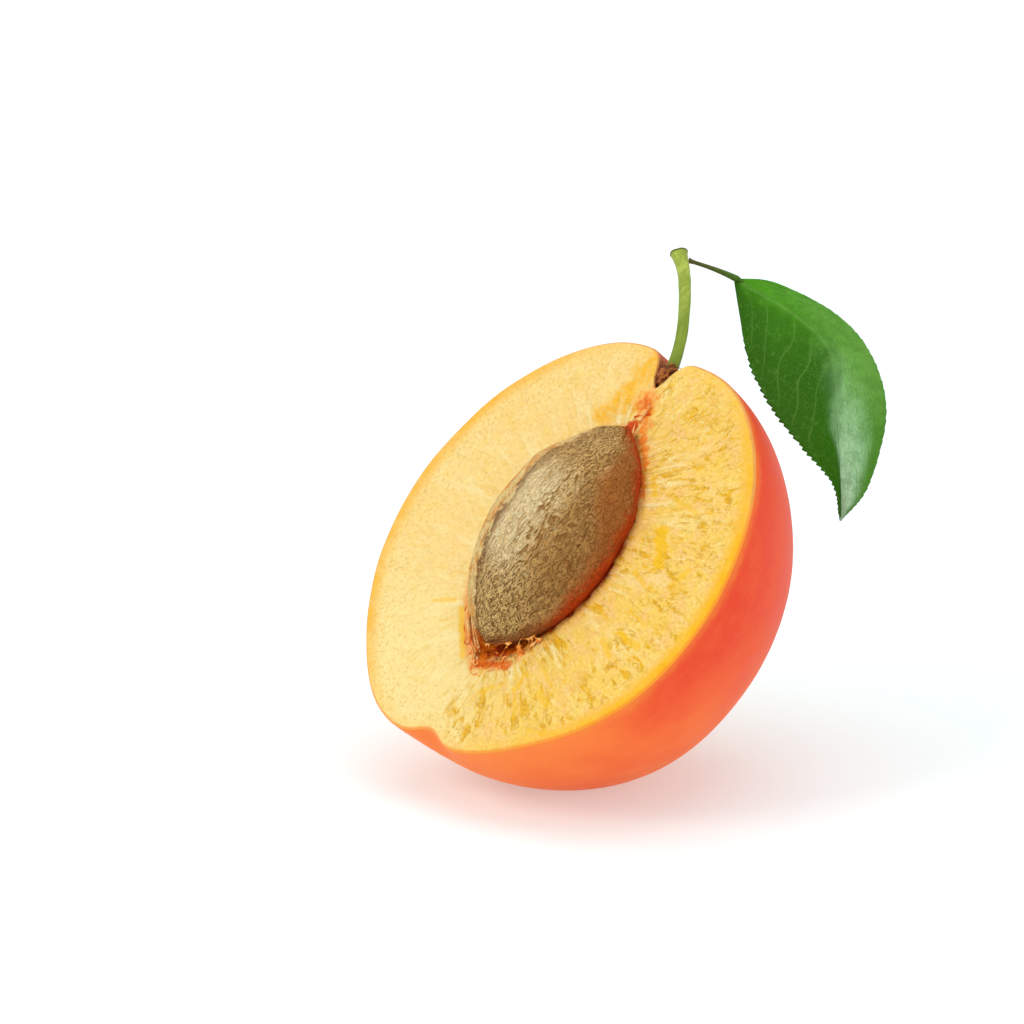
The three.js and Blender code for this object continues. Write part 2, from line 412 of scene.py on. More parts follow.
# Where a tone gathers: the point, how far it stays full and where it has gone
fleshSpots = {
    "bundle": ((-0.9, 0, 18.9), 0.1, 2.4),
    "core": ((-1, 0, 18.6), 0, 1.2),
    "pocket": ((-0.7, 0, 15.9), 0.5, 1.1),
    "paintedShadeUnderStone": ((0.6, 0, -12.4), 0.8, 2.2),
    "seat": ((-1, 0.5, 22.6), 0.8, 1.4),
}
skinTones = {
    "orange": (255, 132, 54), "red": (238, 68, 34), "shaded": (252, 160, 62), "dots": (255, 140, 80),
    "nearFace": (250, 140, 58), "cavity": (206, 116, 74), "seat": (124, 62, 22),
}
focus = sqrt(hollow["halfLength"] ** 2 - hollow["halfWidth"] ** 2)


def skinRadius(angle, share, depth):
    end = fruit["stemEnd"] if cos(angle) > 0 else fruit["tipEnd"]
    radius = share / hypot(sin(angle) / fruit["halfWidth"], cos(angle) / end)
    for at, spread, height, reach in reliefs:
        turn = (degrees(angle) - at + 180) % 360 - 180
        radius += height * hill(turn, spread) * hill(depth, reach)
    return radius


def strandPlace(x, z):
    # Strands cross the face at right angles to the hollow's edge, as hyperbolas cross an ellipse
    near, far = hypot(x, z - focus), hypot(x, z + focus)
    across = max(-1, min(1, (near - far) / (2 * focus)))
    side = copysign(sqrt(1 - across * across), x)
    return side, across, (near + far) / 2


def faceSwell(x, z):
    return fruit["swell"] * rumple(x * 0.16, z * 0.16, 3.1)


def faceRelief(x, z, share):
    side, across, ring = strandPlace(x, z)
    stroke = fruit["gouge"] * rumple(side * 22, across * 22, ring * 0.35)
    strand = fruit["strand"] * rumple(side * 50, across * 50, ring * 0.3 + 7)
    amount = lerp(0.4, 1, ease(-12, 6, x)) * ease(0, 0.08, share) * ease(1, 0.93, share)
    return amount * (stroke + strand) + faceSwell(x, z)


def hollowRelief(side, up, turn):
    return 0.3 * rumple(side * 9, up * 9, turn * 1.3) + 0.42 * rumple(side * 5, up * 5, turn * 5 + 5)


def hollowLens(angle):
    return lensRadius(angle, hollow["halfWidth"], hollow["halfLength"])


def hollowEdge(angle):
    side, up = sin(angle), cos(angle)
    ragged = rumple(side * 9, up * 9, 2) + 0.6 * rumple(side * 26, up * 26, 4)
    return hollowLens(angle) - hollow["ragged"] * ragged


def makeFruit(finishes):
    zones = [("hollow", i / fruit["hollowRings"]) for i in range(fruit["hollowRings"] + 1)]
    zones += [("face", (i + 1) / (fruit["faceRings"] + 1)) for i in range(fruit["faceRings"])]
    zones += [("rim", i / fruit["rimRings"]) for i in range(fruit["rimRings"])]
    zones += [("skin", i / fruit["skinRings"]) for i in range(fruit["skinRings"] + 1)]
    bm = turnChain(len(zones), fruit["segments"])
    sideLayer = bm.verts.layers.float.new("rimShare")
    edges = {}
    edgeRound = fruit["rimRound"]
    firstTurn = asin(edgeRound / fruit["depth"])

    for v in bm.verts:
        index = round(v.co.y)
        zone, share = zones[index]
        step = atan2(v.co.x, v.co.z)
        key = round(step, 5)
        angle = step - fruit["crowding"] / 2 * sin(2 * step)
        if key not in edges:
            edges[key] = (hollowEdge(angle), skinRadius(angle, 1, edgeRound))
        inner, rim = edges[key]
        side, up = sin(angle), cos(angle)
        if zone == "hollow":
            turn = share * pi / 2
            relief = hollowRelief(side, up, turn) * sin(turn) * cos(turn)
            radius = inner * sin(turn) - relief
            place = Vector((radius * side + hollow["offset"], 0, radius * up))
            place.y = hollow["depth"] * cos(turn) ** hollow["slope"] - relief * cos(turn)
        elif zone == "face":
            radius = lerp(inner, rim - edgeRound, share)
            place = Vector((radius * side + hollow["offset"] * (1 - share), 0, radius * up))
            place.y = faceRelief(place.x, place.z, share)
        elif zone == "rim":
            turn = share * pi / 2
            radius = rim - edgeRound * (1 - sin(turn))
            place = Vector((radius * side, edgeRound * (1 - cos(turn)), radius * up))
            place.y += faceSwell(place.x, place.z)
        else:
            turn = lerp(firstTurn, pi / 2, share**1.15)
            squareness = 2 / (2 + fruit["tipFullness"] * max(0, -up) ** 2 * share)
            depth = fruit["depth"] * sin(turn) ** squareness
            left = 0 if share == 1 else cos(turn) ** squareness
            radius = skinRadius(angle, left, depth) if left else 0
            place = Vector((radius * side, depth, radius * up))
            place *= 1 + 0.006 * noise.noise(place * 0.09) * ease(0, 0.1, share)
        v[sideLayer] = {"hollow": 0, "face": share, "rim": 1 + share, "skin": 2}[zone]
        world = poseMatrix @ place
        world.z = (world.z + hypot(world.z, fruit["restRoll"])) / 2
        v.co = world * mm
        v.index = index

    skinStart = len(zones) - fruit["skinRings"] - 2
    for face in bm.faces:
        face.material_index = int(min(v.index for v in face.verts) >= skinStart)
    toPiece(bm, "fruitHalf", finishes, "fruit_half")


def strandNodes(n, place):  # the same strands as in strandPlace, for the finish
    flat = n.stretch(place, (1, 0, 1))
    near, far = [n.vector("DISTANCE", flat, (0, 0, end)) for end in (focus, -focus)]
    across = n.calc("DIVIDE", n.less(near, far), 2 * focus)
    rest = n.calc("MAXIMUM", n.less(1, n.both(across, across)), 0)
    side = n.both(n.calc("SQRT", rest), n.calc("SIGN", n.axes(place)["X"]))
    return n.join(side, across, n.both(n.add(near, far), 0.5))


def fleshFinish():
    n = Finish(
        "cutFlesh", fleshTones, {
            "Subsurface Weight": 0.06, "Subsurface Radius": (1, 0.5, 0.2),
            "Subsurface Scale": 0.0012, "Specular IOR Level": 0.15,
        }
    )
    place = n.fruitPlace()
    x, y, z = n.axes(place)
    flat = n.stretch(place, (1, 0, 1))
    strand = strandNodes(n, place)
    rimShare = n.attribute("rimShare")
    rightness = n.remap(n.add(x, n.both(z, 0.1)), -9, 11)

    # Cream on one side of the face, gold on the other, mottled with yellow, peach and paler strands
    n.colour = n.mix(rightness, "cream", "gold")
    mottle = n.speckle(flat, 0.8, 4, 0.65, 0.5)
    n.coat("yellow", n.remap(mottle, 0.4, 0.7), n.remap(rightness, 0, 1, 0.35, 0.8))
    blush = n.speckle(n.stretch(place, (0.42, 0.42, -0.42)), 1, 2, 0.6, 0.6)
    n.coat("peach", n.remap(blush, 0.42, 0.68), n.remap(rightness, 0, 1, 0.2, 0.65))
    bands = n.speckle(n.stretch(strand, (9, 9, 0.16)), 1, 3, 0.6, 0.5)
    n.coat("pale", n.remap(bands, 0.48, 0.68), n.remap(rimShare, 0.8, 0.05, 0.2, 0.85))
    n.coat("lowPale", n.remap(z, -2, -18), n.remap(rightness, 0.7, 0.2), 0.6)

    # Short golden marks that stand in clusters, and a few thin darker ones
    inward = n.remap(rimShare, 0.98, 0.86)
    clusters = n.remap(n.speckle(flat, 0.21, 2, 0.5), 0.38, 0.58, 0.25, 1)
    lowMarks = n.both(n.remap(z, -6, -17, 0, 0.3), n.remap(x, -5, 1))
    markSide = n.both(clusters, inward, n.remap(n.add(rightness, lowMarks), 0.15, 0.7, 0.14, 1))
    marks = n.speckle(n.stretch(strand, (21, 21, 0.55)), 1, 2, 0.55, 0.9)
    markShare = n.both(n.remap(marks, 0.56, 0.65), markSide)
    squiggle = n.speckle(n.stretch(strand, (15, 15, 0.45)), 1, 2, 0.5, 1.2)
    thinShare = n.both(n.line(squiggle, 0.07), n.remap(marks, 0.42, 0.56), markSide, 0.75)
    n.coat("yellow", n.remap(marks, 0.48, 0.6), markSide, 0.8)
    n.coat("mark", markShare)
    n.coat("thinMark", thinShare)
    fine = n.speckle(place, 2.4, 2, 0.6)
    n.coat("fleck", n.remap(fine, 0.5, 0.7), n.remap(rimShare, 0.4, 0.95, 0.25, 0.6))
    n.coat("pale", n.remap(fine, 0.46, 0.3, 0, 0.5))
    jitter = n.spread(n.speckle(n.stretch(strand, (24, 24, 0.5)), 1, 2), -0.5, 0.5)
    spots = 0
    for *route, strength in fruit["strokes"]:
        spots = n.calc("MAXIMUM", spots, n.both(n.stroke(flat, route, jitter), strength))
    for route in fruit["goldBand"]:
        band = n.stroke(flat, route, n.spread(mottle, 0.25, -0.25))
        fibrous = n.remap(n.add(bands, fine), 0.85, 1.15, 1, 0.3)
        n.coat("deepGold", band, fibrous)
    n.coat("spot", spots, n.remap(fine, 0.3, 0.6, 1, 0.7))
    edgeSide = n.remap(n.calc("ABSOLUTE", x), 6, 20, 0.25, 1)
    rimGlow = n.both(n.remap(rimShare, 0.86, 1), n.spread(bands, 0.6, 1), edgeSide)
    n.coat(n.mix(rightness, "rim", "sunnyRim"), rimGlow)
    lowSide = n.remap(n.less(z, n.both(x, 0.6)), 4, -4)
    n.coat(n.mix(lowSide, "skinEdge", "lowEdge"), n.remap(rimShare, 1.1, 1.5, 0, 0.8))

    # Orange between the stone and the stem, and in the hollow: knobs and pits on the sunny side
    edgeBand = n.both(
        n.remap(rimShare, 0.08, 0), n.remap(bands, 0.35, 0.6, 0.5, 1),
        n.remap(x, -4, 1, 1, 0.35),
    )
    n.coat(n.mix(n.remap(x, -3, 0), "leftEdge", "hollowEdge"), edgeBand)
    n.coat("spot", n.stroke(flat, fruit["edgeStroke"], n.spread(fine, -0.3, 0.3)), 0.7)
    rough = n.spread(n.speckle(flat, 1.3, 3, 0.6), -0.5, 0.5)
    bundle = n.nearPoint(flat, *fleshSpots["bundle"], n.both(rough, 0.9))
    streaks = n.remap(n.speckle(flat, 2.2, 2, 0.6), 0.35, 0.62, 1, 0.7)
    n.coat("bundle", bundle, streaks)
    n.coat("pocket", n.nearPoint(flat, *fleshSpots["core"], rough), 0.5)
    knobs = n.spread(n.speckle(flat, 1.1, 2), 0.5, -0.5)
    for route in fruit["sunnyEdge"]:
        n.coat("bundle", n.stroke(flat, route, knobs), n.remap(fine, 0.35, 0.6, 1, 0.55))
    n.coat("pocket", n.stroke(flat, fruit["pocketStroke"], rough))
    n.coat("pocket", n.nearPoint(flat, *fleshSpots["pocket"], n.both(rough, 0.5)))
    pits = n.node("TexVoronoi", {"Vector": n.stretch(place, (0.95, 0.95, 0.7)), "Scale": 1})
    pit = n.remap(n.add(pits.outputs["Distance"], n.spread(fine, -0.1, 0.1)), 0.45, 0.15)
    pitted = n.mix(pit, "wallRidge", "wallPitAndShade")
    tip = n.mix(n.both(pit, 0.4), "wallTip", "wallPitAndShade")
    lens = n.stroke(flat, fruit["lens"], n.both(rough, 0.4))
    n.coat("lens", lens, n.remap(fine, 0.3, 0.6, 1, 0.85))
    # painted shade in the slit between flesh and stone, low on the left wall
    drift = n.add(z, n.spread(fine, -1.5, 1.5))
    leftWall = n.mix(n.remap(drift, -3, -5), "wallLeft", "paintedSlitShade")
    middle = n.mix(n.remap(x, -2, -4), "wallMiddle", leftWall)
    knobbly = n.both(n.remap(drift, 2, 8), n.remap(x, -2, 0))
    wall = n.mix(n.remap(drift, -7, -11), n.mix(knobbly, middle, pitted), tip)
    # painted shade under the stone's tip end, in the dark pit tone, which also colours the wall's pits
    paintedShadeUnderStone = n.nearPoint(flat, *fleshSpots["paintedShadeUnderStone"], n.both(rough, 1.6))
    wall = n.mix(n.both(paintedShadeUnderStone, 0.85), wall, "wallPitAndShade")
    inHollow = n.both(n.remap(y, 0.02, 0.3), n.remap(rimShare, 0.03, 0))
    n.coat(wall, inHollow)
    n.coat("tissue", n.nearPoint(place, *fleshSpots["seat"], n.both(jitter, 0.6)))

    normal = n.bump(n.less(1, n.calc("MAXIMUM", markShare, thinShare)), 0.035)
    normal = n.bump(n.less(1, n.both(pit, inHollow)), 0.3, normal)
    for height, depth in ((bands, 0.4), (mottle, 0.3), (fine, 0.12)):
        normal = n.bump(height, depth, normal)
    return n.done(n.remap(n.speckle(place, 1.4, 3), 0.35, 0.65, 0.36, 0.56), normal)


def skinFinish():
    n = Finish(
        "apricotSkin", skinTones, {
            "Subsurface Weight": 0.1, "Subsurface Radius": (1, 0.4, 0.2),
            "Subsurface Scale": 0.001, "Sheen Weight": 0.05, "Sheen Roughness": 0.4,
            "Sheen Tint": (1, 0.75, 0.6, 1), "Specular IOR Level": 0.12,
        }
    )
    place = n.fruitPlace()
    x, y, z = n.axes(place)
    height, tint = n.grain(place, 1.3)
    clouds = n.speckle(place, 0.07, 3, 0.55)
    # Orange low on the fruit, red towards the stem end and the sunny side
    rise = n.add(n.both(z, 0.75), n.both(x, 0.35))
    rise = n.add(rise, n.spread(clouds, -6, 6))
    n.colour = n.mix(n.remap(rise, -20, 12), "orange", "red")
    away = n.add(y, n.spread(clouds, -8, 8))
    n.coat("shaded", n.remap(away, 15, 27), n.remap(x, 14, -10), 0.8)
    n.coat("dots", n.remap(tint, 0.42, 0.62), 0.14)
    nearFace = n.remap(n.add(y, n.spread(tint, -0.5, 0.5)), 1.7, 0.2)
    n.coat("nearFace", nearFace, 0.6)
    swing = n.spread(tint, -0.6, 0.6)
    # painted shade: the skin round the stem cavity darker and greyer
    n.coat("cavity", n.nearPoint(place, fruit["cavityAt"], 3, 6.5, swing), 0.8)
    n.coat("seat", n.nearPoint(place, fruit["cavityAt"], 1.8, 3.4, swing))
    normal = n.bump(n.speckle(place, 5, 2, 0.6), 0.02, n.bump(height, 0.03))
    return n.done(n.spread(tint, 0.44, 0.58), normal)


makeFruit([fleshFinish(), skinFinish()])


# The stone
stone = {
    "halfWidth": 7.9,
    "halfLength": 14,
    "bluntTip": 0.45,  # from a pointed almond, 0, to an ellipse, 1
    "bluntTop": 0.2,
    "front": 6.9,
    "back": 5,
    "centre": (-0.2, -1.2, 1.1),
    "keel": 0.5,
    "keelSpread": 12,
    "segments": 400,
    "rings": 235,
    "worm": 0.055,  # height of the broader ridges
    "dent": 0.3,
    # The crease between the rough front and the smoother flank: height, turn from the edge
    "crease": [(-14, 4), (-6.5, 9), (-3.5, 13), (0, 19), (2.5, 27), (4, 37), (7, 44), (13, 30)],
    "creaseSoft": 9,
    "creaseRise": 0.2,
    "flankDrop": 0.25,
}
# Stone tones: the lit groove and crest are painted light, shade and shaded are painted shade
stoneTones = {
    "groove": (136, 95, 46), "paintedLitGroove": (228, 188, 126), "tipGroove": (104, 70, 32),
    "crest": (220, 175, 106), "paintedLitCrest": (255, 234, 182), "tipCrest": (250, 210, 140),
    "speck": (160, 116, 56), "shade": (150, 96, 44), "flank": (172, 96, 38), "shaded": (126, 72, 30),
    "film": (250, 172, 86), "paleFilm": (255, 224, 152), "paintedFleshGlow": (196, 66, 16), "paintedTipShade": (146, 84, 40),
}


def stoneRadius(angle):
    almond = lensRadius(angle, stone["halfWidth"], stone["halfLength"])
    side, up = sin(angle) / stone["halfWidth"], cos(angle) / stone["halfLength"]
    blunt = stone["bluntTop"] if up > 0 else stone["bluntTip"]
    return lerp(almond, 1 / hypot(side, up), blunt)


def creaseTurn(height):
    path = stone["crease"]
    for (low, first), (high, second) in zip(path, path[1:]):
        if height < high:
            return lerp(first, second, ease(low, high, height))
    return path[-1][1]


def stoneRelief(place):
    wander = noise.noise_vector(place * 0.4) * 0.6
    along = lerp(0.75, 1.2, ease(6, 12, abs(place.z)))
    grain = Vector(((place.x + wander.x) * 1.3, (place.y + wander.y) * 1.3, (place.z + wander.z) * along))
    return stone["worm"] * max(0, 1 - abs(noise.noise(grain)) * 3)


def stonePlace(angle, turn):  # on the smooth shell: the angle from the stem end, the turn round Z
    radius = stoneRadius(angle)
    girth = radius * sin(angle)
    fromEdge = degrees(asin(min(1, abs(sin(turn)))))
    keel = stone["keel"] * hill(fromEdge, stone["keelSpread"]) * girth / stone["halfWidth"]
    thick = stone["front"] if sin(turn) < 0 else stone["back"]
    x = cos(turn) * girth + copysign(keel, cos(turn))
    y = sin(turn) * girth * thick / stone["halfWidth"]
    return Vector((x, y, radius * cos(angle)))


def makeStone(finish):
    bm = turnChain(stone["rings"] + 1, stone["segments"], start=pi / 2)
    flankLayer = bm.verts.layers.float.new("flank")
    for v in bm.verts:
        angle = pi * (1 - v.co.y / stone["rings"])
        v.co = stonePlace(angle, atan2(v.co.z, v.co.x))
    bmesh.ops.recalc_face_normals(bm, faces=bm.faces)
    bm.normal_update()
    normals = {v: v.normal.copy() for v in bm.verts}
    for v, normal in normals.items():
        turn = degrees(atan2(-v.co.y / stone["front"], v.co.x / stone["halfWidth"]))
        edge = creaseTurn(v.co.z) + 4 * noise.noise(v.co * 0.5)
        soft = stone["creaseSoft"]
        flank = ease(edge + soft, edge - soft, turn) if turn > -89.9 else 0  # not round the back
        height = stoneRelief(v.co) * lerp(1, 0.4, flank)
        height += stone["dent"] * noise.noise(v.co * 0.25)
        height += stone["creaseRise"] * hill(turn - edge - 3, 6) - stone["flankDrop"] * flank
        v[flankLayer] = flank
        place = v.co + normal * (height - 0.1) + Vector(stone["centre"])
        v.co = (poseMatrix @ place) * mm
    toPiece(bm, "stoneShell", [finish], "stone")


def stoneFinish():
    n = Finish("stoneShell", stoneTones, {"Specular IOR Level": 0.08})
    place = n.fruitPlace()
    x, y, z = n.axes(place)
    height, tint = n.grain(n.stretch(place, (1, 1, 0.6)), 2.8, 1.2)
    # Fine worm-like ridges along the stone, with painted light and shade: each is painted lighter on the
    # side towards the stem and the left
    grain = n.stretch(place, (1.5, 1.5, 0.72))
    ridge = n.speckle(grain, 1, 2, 0.55, 0.9)
    beside = n.speckle(n.vector("ADD", grain, (-0.15, -0.04, 0.05)), 1, 2, 0.55, 0.9)
    worm = n.line(ridge, 0.14)
    # painted light and shade on the ridges: the ridge less its copy shifted towards the light
    paintedRidgeLight = n.remap(n.less(worm, n.line(beside, 0.14)), -0.8, 0.8)
    thin = n.line(n.speckle(n.stretch(place, (3.2, 3.2, 1.6)), 1, 1.5, 0.5, 0.6), 0.16)
    relief = n.add(n.both(worm, 0.5), n.both(thin, 0.5))
    share = n.add(n.both(relief, 0.45), n.both(paintedRidgeLight, 0.55))
    swing = n.spread(ridge, -1.5, 1.5)
    aside, along = n.add(x, swing), n.add(z, swing)
    # painted light: the left part of the stone's front gets lighter grooves and crests
    light = n.both(
        n.remap(aside, 4.4, 0.8), n.remap(z, -8.5, -3),
        n.remap(z, 9, 3.5, 0.1, 1), n.remap(y, -2, -4.6),
    )
    tipSide = n.remap(along, -3.5, -8)
    groove = n.mix(n.both(tipSide, 0.7), n.mix(light, "groove", "paintedLitGroove"), "tipGroove")
    crest = n.mix(n.both(tipSide, 0.5), n.mix(light, "crest", "paintedLitCrest"), "tipCrest")
    n.colour = n.mix(n.remap(share, 0.1, 0.8), groove, crest)
    n.coat("speck", n.remap(tint, 0.4, 0.7, 0, 0.25))
    # painted shade: the right side of the stone darker
    n.coat("shade", n.remap(aside, 2, 6.5), 0.5)
    n.coat("flank", n.attribute("flank"), 0.7)
    # The shaded side, by the turn round the stone, and a film of flesh that stuck to it
    middle = stone["centre"]
    outward = n.calc("DIVIDE", n.less(middle[0], x), stone["halfWidth"])
    ahead = n.calc("DIVIDE", n.less(middle[1], y), stone["front"])
    turn = n.calc("ARCTAN2", ahead, outward)
    n.coat("shaded", n.remap(turn, 1.42, 1.22), n.remap(z, 9, 3, 0.2, 1), 0.75)
    torn = n.add(turn, n.spread(tint, -0.12, 0.12))
    film = n.both(
        n.remap(torn, 1.24, 1.16), n.remap(torn, 0.25, 0.4), n.remap(ridge, 0.3, 0.42, 0.5, 1),
        n.remap(along, 14.5, 12), n.remap(z, -12.5, -11),
    )
    n.coat(n.mix(n.remap(tint, 0.42, 0.62), "paleFilm", "film"), film, 0.9)
    # painted red glow of the flesh on the stone's part deep in the hollow, and painted shade at its tip
    # end
    low = n.remap(n.add(y, n.spread(tint, -0.5, 0.5)), -2.6, -1)
    n.coat(n.mix(n.remap(z, -6, -10), "paintedFleshGlow", "paintedTipShade"), low, 0.9)
    return n.done(n.spread(tint, 0.6, 0.85), n.bump(height, 0.12, n.bump(relief, 0.26)))


makeStone(stoneFinish())


# Threads of flesh round the stone, and the dry tissue in the stem cavity
threads = {
    "edge": {"count": 5, "from": 184, "to": (225, 262), "radius": (0.07, 0.13), "stray": (0.1, 0.1, 0.1)},
    "bundle": {
        "count": 4,
        "radius": (0.06, 0.12),
        "from": [(-1.3, 0.9), (-0.1, 0.9), (14.6, 16.4)],  # least and most X, Y and Z of an end
        "to": [(-1.6, 0.2), (-0.12, 0.1), (16.8, 20.2)],
        "stray": (0.35, 0.35, 0.35),
    },
    "tissue": {
        "count": 46,
        "radius": (0.05, 0.12),
        "at": (-1, 0.4, 22.7),
        "size": (0.42, 0.3, 0.5),
        "half": (0.25, 0.2, 0.3),  # half a fibre, from its middle to its end
        "stray": (0.12, 0.12, 0.12),
    },
    "tones": {"main": (248, 170, 84), "pale": (255, 210, 136), "dark": (222, 104, 32)},
}
plug = {
    "at": (-1.15, 0.6, 22.6),
    "size": (1.05, 0.8, 1.2),
    "rough": 0.4,
    "tones": {"main": (132, 68, 22), "pale": (176, 100, 36), "dark": (92, 44, 14)},
}
# Lace of torn flesh between the stone and the hollow's edge: a net round openings
lace = {
    "from": 150,
    "to": 262,
    "columns": 300,
    "rows": 30,
    "stoneDepth": -1.2,
    "edgeDepth": 0.1,
    "overlap": 0.15,  # how far it lies on the flesh past the hollow's edge
    "mesh": 1.05,  # openings per millimetre
    "openAbove": 0.14,
    "hem": (0.02, 0.96),  # no openings outside these shares of the way across
    "sag": 0.3,
    "wander": 0.25,
    "smoothings": 4,
    "thickness": 0.16,
    "tones": {
        "stoneSide": (244, 164, 66), "fleshSide": (250, 142, 26), "dark": (206, 96, 18),
        "pale": (255, 216, 142),
    },
}
dice = random.Random(11)


def scatter(sizes):
    return Vector([dice.gauss(0, size) for size in sizes])


def anyPoint(spans):
    return Vector([dice.uniform(*span) for span in spans])


def rimPoint(turn, depth, beyond=0):  # at the hollow's edge, at a turn round the face in degrees
    angle = radians(turn)
    radius = hollowLens(angle) + beyond
    return Vector((radius * sin(angle) + hollow["offset"], depth, radius * cos(angle)))


def shellPoint(turn, depth):  # on the stone, at that turn and a depth behind the face
    angle = radians(turn)
    level = asin(max(-0.95, min(0.95, (depth - stone["centre"][1]) / stone["back"])))
    roundStone = level if sin(angle) > 0 else pi - level
    return stonePlace(acos(cos(angle)), roundStone) + Vector(stone["centre"])


def addThreads(name, paths, finish, bm=None):
    data = bpy.data.curves.new(name, "CURVE")
    data.dimensions = "3D"
    data.bevel_depth, data.bevel_resolution, data.use_fill_caps = 1, 1, True
    data.resolution_u = 5
    for points, radius in paths:
        spline = data.splines.new("NURBS")
        spline.points.add(len(points) - 1)
        for i, (knot, point) in enumerate(zip(spline.points, points)):
            knot.co = (*point, 1)
            knot.radius = radius * lerp(0.45, 1.1, abs(2 * i / (len(points) - 1) - 1))
        spline.use_endpoint_u, spline.order_u = True, 3
    holder = bpy.data.objects.new(name, data)
    mesh = bpy.data.meshes.new_from_object(holder)
    bpy.data.objects.remove(holder)
    bm = bm or bmesh.new()
    bm.from_mesh(mesh)
    bpy.data.meshes.remove(mesh)
    bmesh.ops.remove_doubles(bm, verts=bm.verts, dist=0.001)
    bmesh.ops.transform(bm, matrix=Matrix.Scale(mm, 4) @ poseMatrix, verts=bm.verts)
    toPiece(bm, name, [finish])


def threadPaths():
    paths = []
    edge = threads["edge"]
    for _ in range(edge["count"]):
        share = dice.uniform(0.3, 1)
        turns = [lerp(edge["from"], dice.uniform(*edge["to"]), k / 6) for k in range(7)]
        points = [
            rimPoint(t, -0.1).lerp(shellPoint(t, -1), share) + scatter(edge["stray"]) for t in turns
        ]
        paths.append((points, dice.uniform(*edge["radius"])))
    bundle = threads["bundle"]
    for _ in range(bundle["count"]):
        start, end = anyPoint(bundle["from"]), anyPoint(bundle["to"])
        bend = start.lerp(end, 0.5) + scatter(bundle["stray"])
        bend.y = min(bend.y, 0.1)
        paths.append(([start, bend, end], dice.uniform(*bundle["radius"])))
    return paths


def tissuePaths():
    paths = []
    tissue = threads["tissue"]
    for _ in range(tissue["count"]):
        middle = Vector(tissue["at"]) + scatter(tissue["size"])
        middle.y = max(middle.y, -0.1)
        half = scatter(tissue["half"])
        points = [middle - half, middle + scatter(tissue["stray"]), middle + half]
        for point in points:
            point.y = max(point.y, -0.2)
        paths.append((points, dice.uniform(*tissue["radius"])))
    return paths


def makePlug():
    bm = bmesh.new()
    bmesh.ops.create_icosphere(bm, subdivisions=5, radius=1)
    for v in bm.verts:
        lump = noise.noise(v.co * 2.2) + 0.5 * noise.noise(v.co * 5.5)
        grown = v.co * (1 + plug["rough"] * lump)
        v.co = Vector(plug["at"]) + Vector([c * size for c, size in zip(grown, plug["size"])])
    return bm


def makeLace(finish):
    bm = bmesh.new()
    shareLayer = bm.verts.layers.float.new("share")
    bmesh.ops.create_grid(bm, x_segments=lace["columns"], y_segments=lace["rows"], size=1)
    low, high = lace["hem"]
    openings = []
    for v in bm.verts:
        turn = lerp(lace["from"], lace["to"], (v.co.x + 1) / 2)
        share = (v.co.y + 1) / 2
        edge = rimPoint(turn, lace["edgeDepth"], lace["overlap"])
        place = shellPoint(turn, lace["stoneDepth"]).lerp(edge, share)
        place.y += lace["sag"] * sin(pi * share)
        gaps = noise.voronoi(Vector((place.x, place.y * 0.5, place.z)) * lace["mesh"])[0]
        v.co = place + noise.noise_vector(place * 0.9) * lace["wander"]
        v[shareLayer] = share
        if gaps[1] - gaps[0] > lace["openAbove"] and low < share < high:
            openings.append(v)
    bmesh.ops.delete(bm, geom=openings, context="VERTS")
    bmesh.ops.remove_doubles(bm, verts=bm.verts, dist=0.01)
    for _ in range(lace["smoothings"]):
        bmesh.ops.smooth_vert(
            bm, verts=bm.verts, factor=0.5, use_axis_x=True, use_axis_y=True, use_axis_z=True,
        )
    bmesh.ops.recalc_face_normals(bm, faces=bm.faces)
    bmesh.ops.transform(bm, matrix=Matrix.Scale(mm, 4) @ poseMatrix, verts=bm.verts)
    piece = toPiece(bm, "fleshLace", [finish])
    addWall(piece, lace["thickness"])


def threadFinish(name, tones):
    n = Finish(name, tones, {"Specular IOR Level": 0.3})
    place = n.fruitPlace()
    height, tint = n.grain(place, 2.2, 1.5)
    n.colour = n.mix(n.remap(n.speckle(place, 0.7, 2), 0.38, 0.6), "main", "pale")
    n.coat("dark", n.remap(tint, 0.5, 0.7))
    return n.done(n.spread(tint, 0.4, 0.6), n.bump(height, 0.05))


def laceFinish():
    n = Finish("laceFlesh", lace["tones"], {"Specular IOR Level": 0.3})
    height, tint = n.grain(n.fruitPlace(), 2.2, 1.5)
    n.colour = n.mix(n.remap(n.attribute("share"), 0.1, 0.7), "stoneSide", "fleshSide")
    n.coat("dark", n.remap(tint, 0.46, 0.6))
    n.coat("pale", n.remap(tint, 0.5, 0.38, 0, 0.8))
    return n.done(n.spread(tint, 0.4, 0.6), n.bump(height, 0.08))


addThreads("fleshThreads", threadPaths(), threadFinish("wetThreads", threads["tones"]))
makeLace(laceFinish())
dryTissue = threadFinish("dryTissue", plug["tones"])
addThreads("cavityTissue", tissuePaths(), dryTissue, makePlug())


# The stem
stem = {
    "route": [
        (-1.1, 1.2, 22.4), (-2.66, 1.1, 26.87), (-5.08, 0.8, 30.98), (-7.26, 0.4, 33.83), (-9.2, 0, 35.6),
    ],
    "rootRadius": 0.75,
    "radius": 0.62,
    "taper": 0.12,  # how much stouter it is below the cut end
    "endRadius": 1.02,
    "rings": 150,
    "segments": 48,
    "tones": {
        "green": (124, 146, 44), "top": (180, 196, 82), "dark": (102, 130, 30), "root": (120, 72, 28),
        "cut": (84, 86, 30),
    },
}


